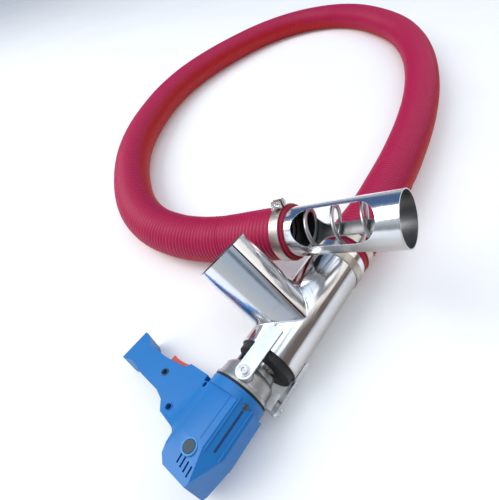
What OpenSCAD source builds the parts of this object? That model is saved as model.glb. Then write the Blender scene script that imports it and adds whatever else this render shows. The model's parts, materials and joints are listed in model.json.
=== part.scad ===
// Drill-driven grain auger: a Y-shaped steel housing with a discharge spout, an electric
// drill bolted to one end, and a long ribbed hose with a windowed pickup tube.

/* [Steel tubes] */
// Outer radius of the main tube
tube_r = 38; // [34:0.5:42]
// Wall of the main tube and of the spout
tube_wall = 1.5; // [1:0.1:2]
// Length of the main tube
tube_len = 171; // [160:1:190]
// Outer radius of the discharge spout
spout_r = 37.5; // [30:0.5:37.5]
// Spout length from the main axis to its mouth
spout_len = 128; // [100:1:160]
// Distance from the drill-end rim to the spout's axis
spout_at = 59; // [52:1:70]
// Angle of the spout above the horizontal
spout_lift = 41; // [20:1:60]

/* [Pickup tube] */
// Outer radius of the pickup tube
pickup_r = 34; // [31:0.5:37]
// Wall of the pickup tube
pickup_wall = 1.5; // [1:0.1:2]
// Distance from the crossing point to the open mouth
pickup_mouth = 92; // [90:1:110]
// Distance from the crossing point to the end inside the hose
pickup_tail = 122; // [115:1:140]
// Angle covered by each feed window
window_angle = 88; // [60:1:95]
// Length of each feed window
window_len = 108; // [80:1:120]

/* [Spiral] */
// Outer radius of the feed spiral
spiral_r = 30.5; // [26:0.5:31]
// Radial depth of the spiral's ribbon
ribbon_depth = 6.5; // [5:0.5:10]
// Thickness of the ribbon
ribbon_t = 3; // [2:0.5:4]
// Advance of the spiral in one turn
pitch = 37; // [32:1:48]

/* [Hose] */
// Outer radius of the hose over its ribs
hose_r = 38; // [37:0.25:40]
// Radius of the pickup and adapter tails that the hose is pushed over
tail_r = 34; // [32:0.5:34]

/* [Drill] */
// Radius of the drill's gear-case flange
flange_r = 35; // [34:0.5:38]
// Distance of the gear case's centre from the spindle, towards the handle
case_off = 7; // [5:0.5:9]
// Reach of the handle from the drill's axis
handle_reach = 172; // [150:1:190]
// Half thickness of the handle
handle_t = 17; // [15:0.5:19]
// Wall of the plastic housing
shell = 2.5; // [2:0.1:3]
// Droop of the handle below the horizontal
handle_droop = 8.4; // [0:0.1:10]
// Radius of the spindle
spindle_r = 6; // [5:0.1:7]
// Travel of the trigger
trigger_travel = 5; // [3:0.5:5]

/* [Drive] */
// Module of the gear teeth
gear_m = 0.7; // [0.65:0.01:0.72]
// Teeth of each pinion
pinion_teeth = 12; // [12:1:13]
// Teeth of each gear wheel
wheel_teeth = 44; // [42:1:45]
// Radius of the drive shaft that carries the spiral
shaft_r = 10; // [8:0.5:11]

/* [Fits] */
// Radial clearance of a shaft that turns in a bearing
run_gap = 0.05; // [0.02:0.01:0.1]
// Clearance of a sliding button
slide_gap = 0.4; // [0.3:0.1:0.6]
// Clearance between parts that are only seated
seat_gap = 0.05; // [0.02:0.01:0.1]

/* [Hidden] */
$fn = 72;

// Place of the main axis in the part's frame
rim_x = -41;
main_y = -65.6;
axis_z = handle_reach * sin(handle_droop) + handle_t * cos(handle_droop);

// Steel tubes
tube_bore = tube_r - tube_wall;
band_w = 13;
band_t = 1.5;
adapter_wall = 2;
adapter_in = 28;
adapter_collar = 11;
adapter_end = 232;
hose_from = tube_len + adapter_collar;
seat_len = 40;
pickup_seat_len = 22;
seat_step = 0.6;

// Bracket between the tube and the drill
arm_angles = [90, 210, 330];
arm_w = 19;
arm_t = 3;
arm_from = -36;
arm_on_tube = 26;
arm_seat = tube_r;
arm_bolt_r = 3;

// Drill stations along the main axis, measured from the drill-end rim
case_front = -16;
case_back = -47;
ring_front = -50;
ring_back = -62;
body_waist = -116;
body_rear = -150;
body_r = 30;
screw_ring_r = 30;
screw_angles = [60, 120, 240, 300];
shaft_offset = gear_m * (pinion_teeth + wheel_teeth) / 2 + 0.05;
bearing_r = 9.5;
motor_shaft_r = 4;
rotor_r = 17;
stator_r = 27;
fan_r = 25.5;
coil_at = 22.2;
layshaft_r = 3;

// Trigger and lock button on the front edge of the handle
trigger_y = 96;
trigger_l = 33;
trigger_w = 14;
trigger_x = -64;
lock_y = 60;
lock_r = 4;
handle_front = -65;

// Pickup tube: its crossing point over the main tube, its turn and its tilt
pickup_turn = -79;
pickup_tilt = 22;
window_turn = 225;
window_from = -41;
lip = -53;
clamp_w = 14;
clamp_t = 1.5;
crossing = [122, -64.6, axis_z + (tube_r + band_t + pickup_r + 0.9) / cos(pickup_tilt)];
pickup_dir = [cos(pickup_tilt) * cos(pickup_turn), cos(pickup_tilt) * sin(pickup_turn), sin(pickup_tilt)];

// Hose: the route of its centreline, from the adapter's shoulder to the pickup tube
hose_sides = 12;
hose_bore = (tail_r + seat_gap) / cos(180 / hose_sides);
hose_steps = 2;
hose_route = [
    [rim_x + hose_from, main_y, axis_z], [200, main_y, axis_z], [260, -65, 41], [335, -58, 38.5],
    [425, -48, 38], [545, -28, 38], [670, 2, 38], [790, 42, 38], [900, 90, 38], [1000, 148, 38],
    [1085, 215, 38], [1155, 300, 38], [1205, 395, 38], [1215, 490, 38], [1180, 575, 38],
    [1110, 640, 38], [1010, 685, 38], [890, 708, 38], [760, 716, 38], [630, 706, 38],
    [500, 672, 38], [385, 620, 38], [285, 560, 38], [200, 488, 38], [130, 405, 38],
    [85, 330, 38], [65, 262, 38], [66, 200, 39.5], [76, 150, 44], [87, 108, 53],
    crossing - 165 * pickup_dir, crossing - pickup_tail * pickup_dir, crossing + lip * pickup_dir
];
spiral_steps = 6;

// ---- Placing ----

// Children's Z axis is laid along the main axis, x from the drill-end rim
module on_axis(x = 0, turn = 0) {
    translate([rim_x + x, main_y, axis_z]) rotate([90, 0, 90]) rotate([0, 0, turn]) children();
}

// The drill's own frame: X along the main axis, Y along the handle, Z through its side
module in_drill() {
    translate([rim_x, main_y, axis_z]) rotate([-handle_droop, 0, 0]) children();
}

// A turned part of the drill: Z along the main axis from x, moved off the axis by a handle-frame offset
module drill_turned(x, off = [0, 0]) {
    in_drill() translate([x, off[0], off[1]]) rotate([90, 0, 90]) children();
}

// The pickup tube's frame: Z along the tube from the crossing point towards its mouth
module on_pickup(l = 0) {
    translate(crossing + l * pickup_dir) rotate([0, 90 - pickup_tilt, pickup_turn]) children();
}

module ring(r_out, r_in, h) {
    difference() {
        cylinder(r = r_out, h = h);
        translate([0, 0, -1]) cylinder(r = r_in, h = h + 2);
    }
}

// A closed bar through a list of four-cornered sections
module bar_through(sections) {
    n = len(sections) - 1;
    sides = [for (i = [0:n - 1]) for (k = [0:3])
        let (a = 4 * i + k, b = 4 * i + (k + 1) % 4) each [[a, a + 4, b + 4], [a, b + 4, b]]];
    ends = [[0, 1, 2], [0, 2, 3], [4 * n + 2, 4 * n + 1, 4 * n], [4 * n + 3, 4 * n + 2, 4 * n]];
    polyhedron([for (s = sections) each s], concat(sides, ends), convexity = 10);
}

// A flat-ribbon helix about Z, from z = 0 to h
module helix(h, steps = 30) {
    n = round(steps * h / pitch);
    bar_through([for (i = [0:n])
        let (a = 360 * i / steps, z = (h - ribbon_t) * i / n, c = [cos(a), sin(a), 0],
            lower = [0, 0, z], upper = [0, 0, z + ribbon_t])
        [c * (spiral_r - ribbon_depth) + lower, c * spiral_r + lower,
            c * spiral_r + upper, c * (spiral_r - ribbon_depth) + upper]]);
}

// ---- Sweeping along the hose's route ----

function spline(p0, p1, p2, p3, t) =
    0.5 * (2 * p1 + (p2 - p0) * t + (2 * p0 - 5 * p1 + 4 * p2 - p3) * t * t
    + (3 * p1 - p0 - 3 * p2 + p3) * t * t * t);

function route_point(u) =
    let (n = len(hose_route) - 1, i = min(floor(u), n - 1), t = u - i,
        p1 = hose_route[i], p2 = hose_route[i + 1],
        p0 = i > 0 ? hose_route[i - 1] : 2 * p1 - p2,
        p3 = i + 2 <= n ? hose_route[i + 2] : 2 * p2 - p1)
    spline(p0, p1, p2, p3, t);

function unit(v) = v / norm(v);

function route_dir(u) =
    let (n = len(hose_route) - 1)
    unit(route_point(min(u + 0.02, n)) - route_point(max(u - 0.02, 0)));

// Point at radius r and angle a round the route at u
function around(u, r, a) =
    let (d = route_dir(u), side = unit(cross([0, 0, 1], d)), up = cross(d, side))
    route_point(u) + r * (cos(a) * side + sin(a) * up);

// Closed tube between two radii, from stations given as a list of u
module swept_tube(stations, r_out, r_in, sides) {
    n = len(stations);
    points = [
        for (r = [r_out, r_in]) for (u = stations) for (k = [0:sides - 1])
            around(u, r, (k + 0.5) * 360 / sides)
    ];
    function at(skin, i, k) = (skin * n + i) * sides + k % sides;
    faces = concat(
        [for (i = [0:n - 2]) for (k = [0:sides - 1])
            [at(0, i, k), at(0, i, k + 1), at(0, i + 1, k + 1), at(0, i + 1, k)]],
        [for (i = [0:n - 2]) for (k = [0:sides - 1])
            [at(1, i, k), at(1, i + 1, k), at(1, i + 1, k + 1), at(1, i, k + 1)]],
        [for (k = [0:sides - 1]) [at(0, 0, k), at(1, 0, k), at(1, 0, k + 1), at(0, 0, k + 1)]],
        [for (k = [0:sides - 1])
            [at(0, n - 1, k), at(0, n - 1, k + 1), at(1, n - 1, k + 1), at(1, n - 1, k)]]
    );
    polyhedron(points, faces, convexity = 8);
}

// ---- Gears ----

function involute_of(a) = tan(a) - a * PI / 180;

// Half the angle that a tooth covers at radius r
function tooth_half(teeth, r) =
    let (rp = gear_m * teeth / 2, rb = rp * cos(20), rr = max(r, rb))
    90 / teeth - 0.07 / rp * 180 / PI
    + (involute_of(20) - involute_of(acos(min(1, rb / rr)))) * 180 / PI;

function gear_outline(teeth) =
    let (rp = gear_m * teeth / 2, root = rp - 1.15 * gear_m, tip = rp + 0.72 * gear_m,
        levels = [root, (root + rp) / 2, rp, (rp + tip) / 2, tip])
    [for (i = [0:teeth - 1]) for (s = [-1, 1]) for (j = [0:4])
        let (r = s < 0 ? levels[j] : levels[4 - j], a = i * 360 / teeth + s * tooth_half(teeth, r))
        [r * cos(a), r * sin(a)]];

module gear(teeth, width) linear_extrude(width) polygon(gear_outline(teeth));

// ---- Steel housing ----

module y_housing() color("lightsteelblue") difference() {
    union() {
        on_axis() cylinder(r = tube_r, h = tube_len);
        on_axis(spout_at, spout_lift) rotate([0, 90, 0]) cylinder(r = spout_r, h = spout_len);
    }
    on_axis(-1) cylinder(r = tube_bore, h = tube_len + 2);
    on_axis(spout_at, spout_lift) rotate([0, 90, 0])
        cylinder(r = spout_r - tube_wall, h = spout_len + 1);
    on_axis(spout_at, spout_lift) rotate([0, 90, 0]) translate([0, 0, spout_len - seat_len])
        ring(spout_r + 1, spout_r - seat_step, seat_len + 1);
}

// One flat arm in the frame of on_axis, along local X, with a rounded end and a bolt hole
module arm() difference() {
    union() {
        translate([arm_seat - 3, -arm_w / 2, arm_from]) cube([arm_t + 3, arm_w, arm_on_tube - arm_from]);
        translate([arm_seat - 3, 0, arm_from]) rotate([0, 90, 0]) cylinder(r = arm_w / 2, h = arm_t + 3);
    }
    translate([0, -arm_w, arm_from - arm_w]) cube([arm_seat, 2 * arm_w, arm_w - arm_from]);
    cylinder(r = tube_r, h = arm_on_tube + 1);
    translate([0, 0, arm_from]) rotate([0, 90, 0]) cylinder(r = arm_bolt_r + 0.2, h = tube_r + 20);
}

module bracket_arms() color("silver") for (a = arm_angles) on_axis(0, a) arm();

module arm_washers() color("gainsboro") for (a = arm_angles) on_axis(arm_from, a)
    translate([arm_seat + arm_t, 0, 0]) rotate([0, 90, 0]) ring(7, arm_bolt_r + 0.2, 1.2);

module arm_bolts() color("silver") for (a = arm_angles) on_axis(arm_from, a) rotate([0, 90, 0])
    difference() {
        union() {
            translate([0, 0, arm_seat - 7]) cylinder(r = arm_bolt_r, h = arm_t + 9);
            translate([0, 0, arm_seat + arm_t + 1.2]) cylinder(r = 5, h = 3);
        }
        translate([0, 0, arm_seat + arm_t + 2.4]) cylinder(r = 2.4, h = 5, $fn = 6);
    }

// ---- Shaft and spiral in the housing ----

seal_out = 9;
seal_in = 10;
bush_r = 14;
shaft_from = -8;
spindle_front = 6;
hub_from = 22;
hub_len = 16;

module seal_plug() color("#202020") on_axis(-seal_out) difference() {
    union() {
        cylinder(r = tube_bore - 1.5, h = seal_out + seal_in);
        translate([0, 0, seal_out]) cylinder(r = tube_bore - seat_gap, h = seal_in);
    }
    translate([0, 0, -1]) cylinder(r = bush_r, h = seal_out + seal_in + 2);
}

module shaft_bush() color("peru") on_axis(-seal_out + 1)
    ring(bush_r, shaft_r + run_gap, seal_out + seal_in - 1);

module drive_shaft() color("gray") on_axis(shaft_from) difference() {
    cylinder(r = shaft_r, h = hub_from + hub_len - shaft_from);
    translate([0, 0, -1]) cylinder(r = spindle_r, h = spindle_front - shaft_from + 2);
    translate([0, 0, hub_from + hub_len / 2 - shaft_from]) rotate([0, 90, 0])
        cylinder(r = 2.5, h = 4 * shaft_r, center = true);
}

module spiral_hub() color("dimgray") on_axis(hub_from) difference() {
    ring(spiral_r - ribbon_depth - 0.08, shaft_r, hub_len);
    translate([0, 0, hub_len / 2]) rotate([0, 90, 0]) cylinder(r = 2.5, h = 4 * spiral_r, center = true);
}

module hub_pin() color("silver") on_axis(hub_from + hub_len / 2) rotate([0, 90, 0])
    cylinder(r = 2.5, h = 2 * (spiral_r - ribbon_depth) - 2, center = true);

module feed_spiral() color("silver") on_axis(hub_from + 1) helix(adapter_end - 6 - hub_from);

// ---- Joint between the housing and the hose ----

module hose_adapter() color("lightsteelblue") on_axis(tube_len - adapter_in) difference() {
    union() {
        cylinder(r = tube_bore - seat_gap, h = adapter_in);
        translate([0, 0, adapter_in]) cylinder(r = tube_r, h = adapter_collar);
        cylinder(r = tail_r, h = adapter_end - tube_len + adapter_in);
    }
    translate([0, 0, -1]) cylinder(r = tail_r - adapter_wall, h = adapter_end);
}

// A strap round a tube with two bolt ears, about Z, with the ears along X
module strap(r, w, t, ear = 11) difference() {
    union() {
        ring(r + t, r, w);
        for (s = [-1, 1]) translate([r + 0.4, s * 3 - 1.2, 0]) cube([ear, 2.4, w]);
    }
    translate([r - 2, -1.8, -1]) cube([ear + 5, 3.6, w + 2]);
    translate([r + 7, 0, w / 2]) rotate([90, 0, 0]) cylinder(r = 2.2, h = 20, center = true);
}

// The bolt of a strap: hex head, shank and nut
module strap_bolt(r, w) translate([r + 7, 0, w / 2]) rotate([90, 0, 0]) {
    cylinder(r = 2, h = 17, center = true);
    translate([0, 0, 4.25]) cylinder(r = 4, h = 3.4, $fn = 6);
    translate([0, 0, -7.65]) cylinder(r = 4, h = 3.4, $fn = 6);
}

band_turn = -25;
adapter_clamp_turn = -35;
pickup_clamp_turn = 170;
adapter_clamp_at = hose_from + 12;
pickup_clamp_at = lip - 4 - clamp_w;

module band_clamp() color("silver") on_axis(tube_len - band_w, band_turn) strap(tube_r, band_w, band_t);
module band_bolt() color("gainsboro") on_axis(tube_len - band_w, band_turn) strap_bolt(tube_r, band_w);

module adapter_clamp() color("silver") on_axis(adapter_clamp_at, adapter_clamp_turn)
    strap(hose_r, clamp_w, clamp_t);
module adapter_clamp_bolt() color("gainsboro") on_axis(adapter_clamp_at, adapter_clamp_turn)
    strap_bolt(hose_r, clamp_w);

// ---- Hose and pickup ----

module hose() color("#b0204f")
    swept_tube([for (k = [0:hose_steps * (len(hose_route) - 1)]) k / hose_steps],
        hose_r, hose_bore, hose_sides);

// The loose length of the spiral, from the adapter's end to the pickup tube, a ribbon at each step
spiral_u0 = 1.05;
spiral_u1 = len(hose_route) - 1.95;
hose_turns = 72;

module hose_spiral() color("silver") {
    n = hose_turns * spiral_steps;
    bar_through([for (i = [0:n])
        let (u = spiral_u0 + (spiral_u1 - spiral_u0) * i / n, d = route_dir(u) * ribbon_t / 2,
            a = i * 360 / spiral_steps, inner = around(u, spiral_r - ribbon_depth, a),
            outer = around(u, spiral_r - 1, a))
        [inner - d, outer - d, outer + d, inner + d]]);
}

module pickup_clamp() color("silver") on_pickup(pickup_clamp_at) rotate([0, 0, pickup_clamp_turn])
    strap(hose_r, clamp_w, clamp_t);
module pickup_clamp_bolt() color("gainsboro") on_pickup(pickup_clamp_at)
    rotate([0, 0, pickup_clamp_turn]) strap_bolt(hose_r, clamp_w);

// One oblong window cut: a box between two round ends, across one side of the tube
module window_cut() {
    half = pickup_r * sin(window_angle / 2);
    translate([0, -half, half]) cube([2 * pickup_r, 2 * half, window_len - 2 * half]);
    for (l = [half, window_len - half]) translate([0, 0, l]) rotate([0, 90, 0])
        cylinder(r = half, h = 2 * pickup_r);
}

module pickup_tube() color("lightsteelblue") on_pickup() difference() {
    translate([0, 0, -pickup_tail]) ring(pickup_r, pickup_r - pickup_wall, pickup_tail + pickup_mouth);
    translate([0, 0, pickup_mouth - pickup_seat_len])
        ring(pickup_r + 1, pickup_r - seat_step, pickup_seat_len + 1);
    for (k = [0:2]) rotate([0, 0, window_turn + 120 * k]) translate([0, 0, window_from]) window_cut();
}

module pickup_spiral() color("silver") on_pickup(-pickup_tail + 8) rotate([0, 0, 40])
    helix(pickup_tail - 8 + window_from + window_len);

// ---- Gear case of the drill ----

gear_room = gear_m * wheel_teeth / 2 + 1.2;
room_len = 18;
boss_r = 9;

// Both gear wheels' rooms, from the back of the case
module gear_rooms(h) {
    cylinder(r = gear_room, h = h);
    translate([shaft_offset, 0, 0]) cylinder(r = gear_room, h = h);
}

module gear_case() color("#9a9da0") difference() {
    union() {
        drill_turned(case_back, [case_off, 0]) rotate_extrude() polygon([
            [0, 0], [flange_r, 0], [flange_r, 3], [flange_r - 2, 4], [flange_r - 3, 18],
            [flange_r - 7, 23], [20, 27], [0, 27]
        ]);
        on_axis(case_back + 1) cylinder(r1 = 24.6, r2 = 19, h = case_front - case_back - 1);
        for (a = arm_angles) on_axis(arm_from, a) rotate([0, 90, 0]) translate([0, 0, 20])
            cylinder(r = boss_r, h = arm_seat - 20);
        for (a = [-26, 26]) on_axis(case_back + 1.5, arm_angles[1] + a) translate([20, -1.2, 0])
            cube([14.3, 2.4, 20.5]);
    }
    for (a = arm_angles) on_axis(arm_from, a) {
        translate([arm_seat, -arm_w, -12]) cube([10, 2 * arm_w, 30]);
        translate([arm_seat - 7.5, 0, 0]) rotate([0, 90, 0]) cylinder(r = arm_bolt_r, h = 20);
    }
    drill_turned(case_back - 1) gear_rooms(room_len + 1);
    on_axis(case_back) cylinder(r = 13, h = 40);
    drill_turned(case_back, [shaft_offset, 0]) cylinder(r = 6, h = 23);
    drill_turned(case_back - 1, [case_off, 0]) at_case_screws() cylinder(r = 2, h = 12);
}

// Children at each of the screws that hold the gear case to the front ring
module at_case_screws() for (a = screw_angles) rotate([0, 0, a]) translate([screw_ring_r, 0, 0]) children();

module case_screws() color("dimgray") drill_turned(ring_back, [case_off, 0]) at_case_screws() {
    cylinder(r = 2, h = case_back - ring_back + 10);
    cylinder(r = 3.6, h = 3);
}

module case_gasket() color("#181818") drill_turned(ring_front) difference() {
    translate([case_off, 0, 0]) cylinder(r = flange_r - 2, h = case_back - ring_front);
    translate([0, 0, -1]) gear_rooms(6);
    translate([case_off, 0, -1]) at_case_screws() cylinder(r = 2.1, h = 8);
}

module front_ring() color("#1f7cc8") drill_turned(ring_back) difference() {
    translate([case_off, 0, 0]) cylinder(r = flange_r, h = ring_front - ring_back);
    translate([0, 0, 2]) cylinder(r = bearing_r, h = 20);
    translate([0, 0, -1]) cylinder(r = motor_shaft_r + 1, h = 20);
    translate([shaft_offset, 0, 6]) cylinder(r = 6, h = 20);
    translate([case_off, 0, -1]) at_case_screws() {
        cylinder(r = 2.1, h = 20);
        cylinder(r = 3.8, h = 4);
    }
}

// A pinion has a tooth towards the wheel that it drives, and the wheel a gap there
wheel_w = 6;
low_gear_x = -36;
high_gear_x = -45.5;

module spindle() color("gray") on_axis(low_gear_x - 1)
    cylinder(r = spindle_r, h = spindle_front - low_gear_x + 1);

module spindle_gear() color("darkgray") drill_turned(low_gear_x) difference() {
    rotate([0, 0, 180 / wheel_teeth]) gear(wheel_teeth, wheel_w);
    translate([0, 0, -1]) cylinder(r = spindle_r, h = wheel_w + 2);
}

module spindle_bearing() color("silver") on_axis(case_back + 18.5)
    ring(13, spindle_r + run_gap, case_front - case_back - 19);

module layshaft() color("gray") {
    drill_turned(ring_back + 6.5, [shaft_offset, 0]) cylinder(r = layshaft_r, h = 31.4);
    drill_turned(low_gear_x - 1, [shaft_offset, 0]) rotate([0, 0, 180]) gear(pinion_teeth, wheel_w + 2);
}

module layshaft_gear() color("darkgray") drill_turned(high_gear_x, [shaft_offset, 0]) difference() {
    rotate([0, 0, 180 + 180 / wheel_teeth]) gear(wheel_teeth, wheel_w);
    translate([0, 0, -1]) cylinder(r = layshaft_r, h = wheel_w + 2);
}

module layshaft_bushes() color("peru") for (x = [ring_back + 6, case_back + 19])
    drill_turned(x, [shaft_offset, 0]) ring(6, layshaft_r + run_gap, x < case_back ? 6 : 4);

// ---- Motor ----

module armature_shaft() color("gray") {
    drill_turned(body_rear + 8) cylinder(r = motor_shaft_r, h = high_gear_x - body_rear - 8);
    drill_turned(high_gear_x - 0.5) gear(pinion_teeth, wheel_w + 1.5);
}

module armature_core() color("#8a5a34") drill_turned(-112) ring(rotor_r, motor_shaft_r, 34);
module commutator() color("#b87333") drill_turned(-129) ring(10, motor_shaft_r, 12);

module cooling_fan() color("#303030") drill_turned(-74) difference() {
    union() {
        ring(7, motor_shaft_r, 8);
        translate([0, 0, 6]) ring(fan_r, motor_shaft_r, 2);
        for (k = [0:8]) rotate([0, 0, 40 * k]) translate([6, -1, 0]) cube([fan_r - 7, 2, 7]);
    }
    translate([0, 0, -1]) cylinder(r = motor_shaft_r, h = 10);
}

module motor_bearings() color("silver") for (x = [ring_back + 2, body_rear + 10])
    drill_turned(x) ring(bearing_r, motor_shaft_r + run_gap, 7);

module stator_core() color("#6a6f75") drill_turned(-112) difference() {
    cylinder(r = stator_r, h = 34);
    translate([0, 0, -1]) cylinder(r = rotor_r + 1, h = 36);
    for (s = [-1, 1]) translate([s * coil_at - 3, -8, -1]) cube([6, 16, 36]);
}

module field_coils() color("#b87333") for (s = [-1, 1]) drill_turned(-115)
    translate([s * coil_at - 2.6, -7.6, 0]) cube([5.2, 15.2, 40]);

brush_x = -123;

module brush_holders() color("goldenrod") for (s = [-1, 1]) in_drill() translate([brush_x, 0, 0])
    rotate([s > 0 ? 0 : 180, 0, 0]) translate([0, 0, 12]) difference() {
        translate([-5, -6, 0]) cube([10, 12, 13]);
        translate([-3, -4, -1]) cube([6, 8, 15]);
    }

module carbon_brushes() color("#2a2a2a") for (s = [-1, 1]) in_drill() translate([brush_x, 0, 0])
    rotate([s > 0 ? 0 : 180, 0, 0]) translate([-2.9, -3.9, 10.1]) cube([5.8, 7.8, 10]);

module brush_caps() color("#38485a") for (s = [-1, 1]) in_drill() translate([brush_x, 0, 0])
    rotate([s > 0 ? 0 : 180, 0, 0]) translate([0, 0, 25.2]) {
        cylinder(r = 6.9, h = 5.8);
    }

// ---- Drill housing ----

// Side view of the body and the handle, grown outward by g
module side_outline(g) offset(delta = g) polygon([
    [ring_back, -body_r], [-112, -body_r], [-151, -17], [body_rear, 17], [-143, 25], [-124, 30],
    [-121, 36], [-116, 66], [-106, 76], [-101, 90], [-98, 125], [-92, handle_reach - 17],
    [-96, handle_reach - 5],
    [-96, handle_reach], [-53, handle_reach], [-53, handle_reach - 5], [-56, handle_reach - 12],
    [-63, handle_reach - 22], [handle_front, 114], [-62, 79], [-55, 74], [-55, 44.5], [ring_back, 44.5]
]);

// View of both along the main axis: an eight-sided barrel that slopes down to the flat handle
module end_outline(g) offset(delta = g) let (c = body_r * tan(22.5)) polygon([
    [-c, body_r], [-body_r, c], [-body_r, -c], [-c, -body_r], [22, -body_r], [42, -handle_t],
    [handle_reach + 9, -handle_t], [handle_reach + 9, handle_t], [42, handle_t], [22, body_r]
]);

// Outer form of both shells, grown by g: the side and end views, narrowed towards the rear
module housing_form(g = 0) intersection() {
    translate([0, 0, -60]) linear_extrude(120) side_outline(g);
    translate([-200, 0, 0]) rotate([90, 0, 90]) linear_extrude(200) end_outline(g);
    translate([0, 250, 0]) rotate([90, 0, 0]) linear_extrude(350) offset(delta = g) polygon([
        [-10, -body_r - 5], [body_waist, -body_r - 5], [body_waist, -body_r], [body_rear - 5, -22],
        [body_rear - 5, 22], [body_waist, body_r], [body_waist, body_r + 5], [-10, body_r + 5]
    ]);
}

// The barrel's open front, inside the shells
module housing_mouth() intersection() {
    translate([-200, 0, 0]) rotate([90, 0, 90]) linear_extrude(200) end_outline(-shell);
    translate([ring_back - 6, -60, -40]) cube([12, 60 + 36, 80]);
}

screw_spots = [[-80, 98], [-66, 38], [-107, 60]];

// Both shells at once: skin, ribs that hold the motor, bosses for the screws
module housing_both() difference() {
    union() {
        difference() {
            housing_form();
            housing_form(-shell);
            housing_mouth();
        }
        intersection() {
            housing_form(-1);
            union() {
                for (x = [body_rear + 9, -100]) translate([x, 0, 0]) rotate([90, 0, 90])
                    cylinder(r = 45, h = 9);
                for (p = screw_spots) translate([p[0], p[1], -20]) cylinder(r = 4.5, h = 40);
                translate([brush_x, 0, -40]) cylinder(r = 8.6, h = 80);
            }
        }
    }
    translate([body_rear + 10, 0, 0]) rotate([90, 0, 90]) cylinder(r = bearing_r + seat_gap, h = 7);
    translate([body_rear + 7, 0, 0]) rotate([90, 0, 90]) cylinder(r = motor_shaft_r + 1, h = 20);
    translate([-131, 0, 0]) rotate([90, 0, 90]) cylinder(r = 11.4, h = 25);
    translate([-101, 0, 0]) rotate([90, 0, 90]) cylinder(r = stator_r + 2 * seat_gap, h = 20);
    for (s = [0, 180]) rotate([s, 0, 0]) {
        translate([brush_x, 0, 25]) cylinder(r = 7, h = 20);
        translate([brush_x - 5.1, -6.1, 5]) cube([10.2, 12.2, 21]);
        for (k = [0:3]) translate([-144 + 1.2 * k, -14 + 5.6 * k, 18]) cube([10, 2, 20]);
    }
    for (p = screw_spots) translate([p[0], p[1], -30]) {
        cylinder(r = 1.7, h = 60);
        translate([0, 0, 30 + 8]) cylinder(r = 3.4, h = 30);
    }
    translate([trigger_x - trigger_travel - slide_gap, trigger_y - trigger_l / 2 - slide_gap,
        -trigger_w / 2 - slide_gap]) cube([30, trigger_l + 2 * slide_gap, trigger_w + 2 * slide_gap]);
    translate([-64, lock_y, 0]) rotate([0, 90, 0]) cylinder(r = lock_r + slide_gap, h = 20);
    translate([-74, handle_reach - 8, 0]) rotate([-90, 0, 0]) cylinder(r = 7, h = 20);
}

module half_space(s) translate([-300, -100, s > 0 ? 0 : -100]) cube([400, 400, 100]);

module housing_left() color("#1f7cc8") in_drill() intersection() {
    housing_both();
    half_space(1);
}

module housing_right() color("#1f7cc8") in_drill() intersection() {
    housing_both();
    half_space(-1);
}

module housing_screws() color("#202830") in_drill() for (p = screw_spots) translate([p[0], p[1], -12]) {
    cylinder(r = 1.65, h = 20);
    translate([0, 0, 20]) difference() {
        cylinder(r = 3.3, h = 2.4);
        translate([-2.4, -0.5, 1.2]) cube([4.8, 1, 2]);
        translate([-0.5, -2.4, 1.2]) cube([1, 4.8, 2]);
    }
}

// ---- Switch, trigger and lock button ----

stem_r = 2.5;

module switch_body() color("#2a2a2a") in_drill() difference() {
    translate([trigger_x - trigger_travel - 6.2, 80, -9]) cube([5.8, 32, 18]);
    translate([-80, trigger_y, 0]) rotate([0, 90, 0]) cylinder(r = stem_r + run_gap, h = 20);
}

module trigger() color("#d8645f") in_drill() {
    translate([trigger_x, trigger_y - trigger_l / 2, -trigger_w / 2]) linear_extrude(trigger_w)
        polygon([[0, 0], [10, 0], [8, 9], [7.4, 18], [8, 27], [9, trigger_l], [0, trigger_l]]);
    translate([trigger_x - 6, trigger_y, 0]) rotate([0, 90, 0]) cylinder(r = stem_r, h = 7);
}

module lock_button() color("#173f73") in_drill() translate([-63, lock_y, 0]) rotate([0, 90, 0]) {
    cylinder(r = lock_r, h = 9);
    translate([0, 0, 9]) cylinder(r1 = lock_r, r2 = lock_r - 1, h = 1.5);
}

module cord_bush() color("#202020") in_drill() translate([-74, handle_reach - 8, 0])
    rotate([-90, 0, 0]) ring(7, 3.5, 8);

y_housing();
bracket_arms();
arm_bolts();
arm_washers();
seal_plug();
shaft_bush();
drive_shaft();
spiral_hub();
hub_pin();
feed_spiral();
hose_adapter();
band_clamp();
band_bolt();
adapter_clamp();
adapter_clamp_bolt();
hose();
hose_spiral();
pickup_clamp();
pickup_clamp_bolt();
pickup_tube();
pickup_spiral();
gear_case();
case_screws();
case_gasket();
front_ring();
spindle();
spindle_gear();
spindle_bearing();
layshaft();
layshaft_gear();
layshaft_bushes();
housing_left();
housing_right();
housing_screws();
stator_core();
field_coils();
armature_shaft();
armature_core();
commutator();
cooling_fan();
motor_bearings();
brush_holders();
carbon_brushes();
brush_caps();
switch_body();
trigger();
lock_button();
cord_bush();
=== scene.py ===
"""Drill-driven grain auger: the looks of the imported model, laid out as a Blender add-on."""
import json
import math

import bmesh
import bpy
import numpy as np
from bpy.props import FloatProperty, FloatVectorProperty, PointerProperty
from mathutils import Matrix, Vector


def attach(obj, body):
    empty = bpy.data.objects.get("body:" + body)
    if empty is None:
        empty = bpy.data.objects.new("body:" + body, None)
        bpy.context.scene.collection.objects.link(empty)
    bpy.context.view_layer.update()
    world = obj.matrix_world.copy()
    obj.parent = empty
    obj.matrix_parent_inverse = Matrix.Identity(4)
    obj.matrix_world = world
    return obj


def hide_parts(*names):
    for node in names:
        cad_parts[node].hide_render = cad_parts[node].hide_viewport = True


bl_info = {
    "name": "Grain Auger",
    "version": (1, 0, 0),
    "blender": (4, 5, 0),
    "location": "View3D > Sidebar > Grain Auger",
    "description": "Builds a drill-driven grain auger with hose, spiral and pickup tube",
    "category": "Add Mesh",
}

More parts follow.
